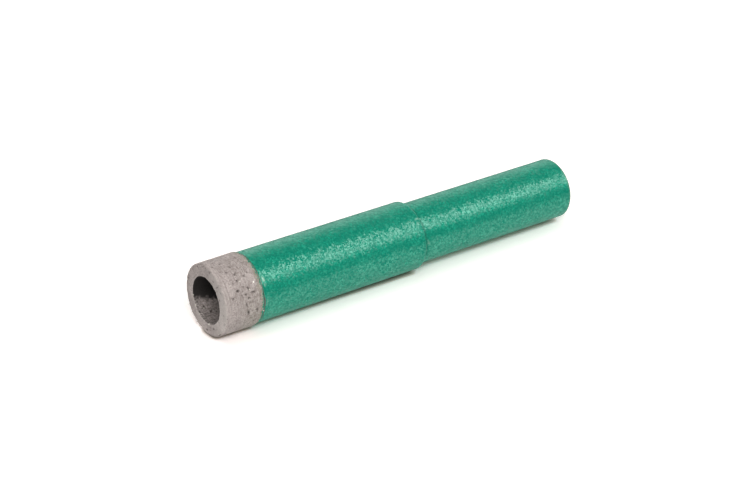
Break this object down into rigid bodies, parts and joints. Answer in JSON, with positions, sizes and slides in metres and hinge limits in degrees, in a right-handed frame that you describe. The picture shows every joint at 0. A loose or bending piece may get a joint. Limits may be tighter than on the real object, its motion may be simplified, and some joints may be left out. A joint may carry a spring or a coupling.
{
  "type": "diamond core bit",
  "caption": "Stepped round steel core bit with a straight shank, green painted, and a sintered diamond ring brazed on its open cutting end.",
  "frame": {"origin": "centre of the ring's flat cutting face, which is also the middle of the base it stands on", "axes": "+Z along the bit's axis, from the cutting face up to the end of the shank"},
  "size_m": [0.014, 0.014, 0.082],
  "materials": {
    "sintered_diamond": "sintered metal matrix, dressed and matte, with open pores and diamond grit",
    "silver_solder": "brazed silver solder, dull and slightly heat stained",
    "green_paint": "sprayed metallic paint with a fine grainy texture, satin"
  },
  "bodies": {
    "root": {"diamond_ring": "sintered_diamond", "braze_joint": "silver_solder", "steel_body": "green_paint"}
  },
  "joints": []
}
